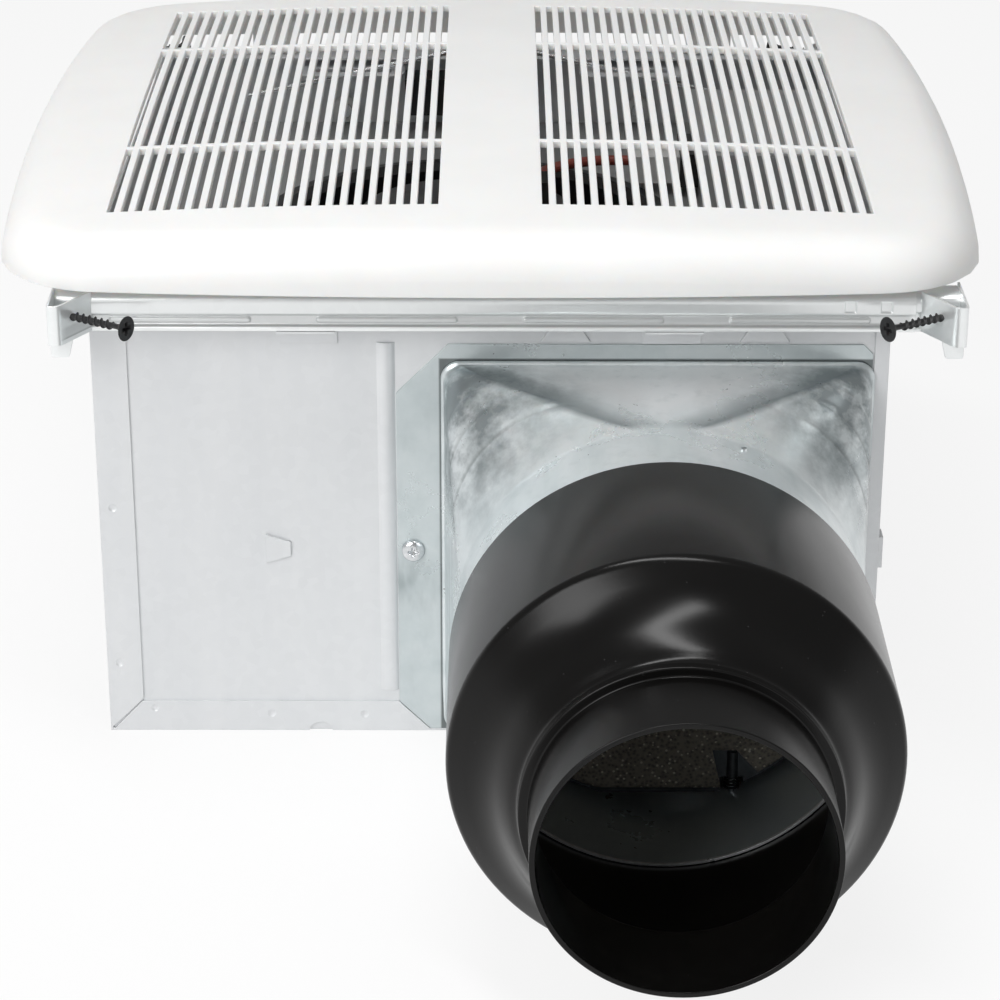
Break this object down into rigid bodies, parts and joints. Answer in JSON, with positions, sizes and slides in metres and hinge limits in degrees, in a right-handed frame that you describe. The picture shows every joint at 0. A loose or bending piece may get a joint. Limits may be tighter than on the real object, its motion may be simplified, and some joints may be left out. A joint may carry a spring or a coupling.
{
  "type": "bathroom exhaust fan",
  "caption": "Ceiling exhaust fan: galvanised housing with slotted cover, blower wheel, side duct outlet with reducer and damper, and sliding hanger bars.",
  "frame": {"origin": "centre of the outer face of the back pan", "axes": "+Z to the room side, where the grille is; the duct leaves along -Y; +X to the right of the outlet seen from the duct side"},
  "size_m": [0.381, 0.5811, 0.2215],
  "materials": {
    "housing_steel": "galvanised sheet",
    "connector_steel": "galvanised, drawn and scuffed",
    "bar_steel": "bright galvanised",
    "zinc_fastener": "zinc plated",
    "black_screw": "black phosphate",
    "black_plastic": "satin moulded",
    "foam": "speckled cellular foam",
    "bright_steel": "bright drawn wire and ground steel",
    "nylon": "natural nylon",
    "motor_paint": "satin black paint",
    "rubber": "matt",
    "lead_jacket": "soft vinyl",
    "grille_plastic": "satin off-white"
  },
  "bodies": {
    "housing": {"back_pan": "housing_steel", "left_panel": "housing_steel", "right_panel": "housing_steel", "front_panel": "housing_steel", "rear_panel": "housing_steel", "rear_bolts": "zinc_fastener", "rear_nuts": "nylon", "duct_connector": "connector_steel", "duct_collar": "connector_steel", "connector_screw": "zinc_fastener", "reducer": "black_plastic", "front_bar_guides": "bar_steel", "rear_bar_guides": "bar_steel", "blower_scroll": "housing_steel", "blower_plate": "housing_steel", "inlet_ring": "black_plastic", "motor_can": "motor_paint", "motor_bearings": "bright_steel", "motor_bracket": "housing_steel", "isolators": "rubber", "bracket_studs": "zinc_fastener", "bracket_nuts": "zinc_fastener", "wiring_box": "housing_steel", "wiring_cover": "housing_steel", "receptacle": "black_plastic", "motor_plug": "black_plastic", "motor_terminal": "black_plastic", "motor_lead": "lead_jacket", "run_capacitor": "black_plastic", "spring_retainers": "housing_steel"},
    "wheel": {"blower_wheel": "black_plastic", "motor_shaft": "bright_steel"},
    "damper": {"damper_flap": "black_plastic", "damper_pad": "foam", "damper_pins": "bright_steel", "damper_spring": "bright_steel"},
    "front_outer": {"front_outer_bar": "bar_steel", "front_outer_screw": "black_screw"},
    "front_inner": {"front_inner_bar": "bar_steel", "front_inner_screw": "black_screw"},
    "rear_outer": {"rear_outer_bar": "bar_steel", "rear_outer_screw": "black_screw"},
    "rear_inner": {"rear_inner_bar": "bar_steel", "rear_inner_screw": "black_screw"},
    "grille": {"grille": "grille_plastic", "front_spring_coil": "bright_steel", "rear_spring_coil": "bright_steel"},
    "front_left_leg": {"front_spring_left_leg": "bright_steel"},
    "front_right_leg": {"front_spring_right_leg": "bright_steel"},
    "rear_left_leg": {"rear_spring_left_leg": "bright_steel"},
    "rear_right_leg": {"rear_spring_right_leg": "bright_steel"}
  },
  "joints": [
    {"name": "wheel_spin", "type": "hinge", "parent": "housing", "child": "wheel", "pos_m": [-0.01, 0, 0.022], "axis": [0, 0, 1], "continuous": true},
    {"name": "damper_swing", "type": "hinge", "parent": "housing", "child": "damper", "pos_m": [0.0918, -0.2175, 0.0795], "axis": [0, 0, 1], "range_deg": [0, 80], "stiffness_Nm_per_rad": 0.02},
    {"name": "front_outer_slide", "type": "slide", "parent": "housing", "child": "front_outer", "axis": [-1, 0, 0], "range_m": [0, 0.12]},
    {"name": "front_inner_slide", "type": "slide", "parent": "housing", "child": "front_inner", "axis": [1, 0, 0], "range_m": [0, 0.12]},
    {"name": "rear_outer_slide", "type": "slide", "parent": "housing", "child": "rear_outer", "axis": [1, 0, 0], "range_m": [0, 0.12]},
    {"name": "rear_inner_slide", "type": "slide", "parent": "housing", "child": "rear_inner", "axis": [-1, 0, 0], "range_m": [0, 0.12]},
    {"name": "grille_pull", "type": "slide", "parent": "housing", "child": "grille", "axis": [0, 0, 1], "range_m": [0, 0.08]},
    {"name": "front_left_leg_turn", "type": "hinge", "parent": "grille", "child": "front_left_leg", "pos_m": [0, -0.132, 0.203], "axis": [0, 1, 0], "range_deg": [-46, 0]},
    {"name": "front_right_leg_turn", "type": "hinge", "parent": "grille", "child": "front_right_leg", "pos_m": [0, -0.132, 0.203], "axis": [0, 1, 0], "range_deg": [0, 46]},
    {"name": "rear_left_leg_turn", "type": "hinge", "parent": "grille", "child": "rear_left_leg", "pos_m": [0, 0.132, 0.203], "axis": [0, 1, 0], "range_deg": [-46, 0]},
    {"name": "rear_right_leg_turn", "type": "hinge", "parent": "grille", "child": "rear_right_leg", "pos_m": [0, 0.132, 0.203], "axis": [0, 1, 0], "range_deg": [0, 46]}
  ],
  "couplings": [
    {"joint": "front_left_leg_turn", "follows": "grille_pull", "rad_per_m": -9.9},
    {"joint": "front_right_leg_turn", "follows": "grille_pull", "rad_per_m": 9.9},
    {"joint": "rear_left_leg_turn", "follows": "grille_pull", "rad_per_m": -9.9},
    {"joint": "rear_right_leg_turn", "follows": "grille_pull", "rad_per_m": 9.9}
  ]
}
